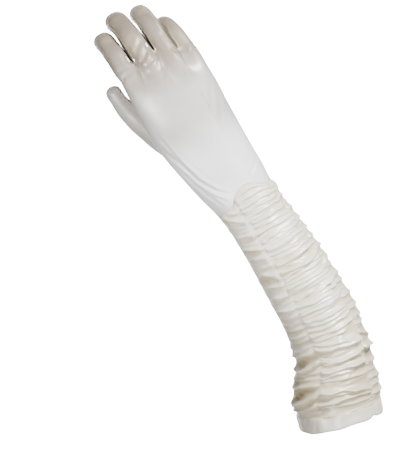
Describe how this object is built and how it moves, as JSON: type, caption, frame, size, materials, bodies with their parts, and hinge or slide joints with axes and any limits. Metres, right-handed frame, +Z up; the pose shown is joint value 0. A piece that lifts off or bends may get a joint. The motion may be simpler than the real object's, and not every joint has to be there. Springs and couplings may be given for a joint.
{
  "type": "long satin glove",
  "caption": "Long right-hand satin glove to the elbow, worn form: smooth hand with curled fingers, ruched sleeve gathered along two rows, plain hem, open at the arm.",
  "frame": {"origin": "centre of the arm opening, at the upper end of the forearm", "axes": "+Z runs up the sleeve to the fingertips, the back of the hand faces -Y, the fingers curl towards +Y, and the thumb is on the -X side"},
  "size_m": [0.1125, 0.1093, 0.4145],
  "materials": {
    "satin": "smooth pearl-white satin with a soft sheen",
    "gathered_satin": "the same satin gathered into folds, a little creamier in the folds",
    "elastic": "matt woven shirring elastic"
  },
  "bodies": {
    "root": {"back_of_hand": "satin", "palm": "satin", "thumb": "satin", "fourchette_index_middle": "satin", "fourchette_middle_ring": "satin", "fourchette_ring_little": "satin", "sleeve_ruched_back": "gathered_satin", "sleeve_underside": "satin", "hem_band": "satin", "shirring_elastic_thumb_side": "elastic", "shirring_elastic_little_side": "elastic"}
  },
  "joints": []
}
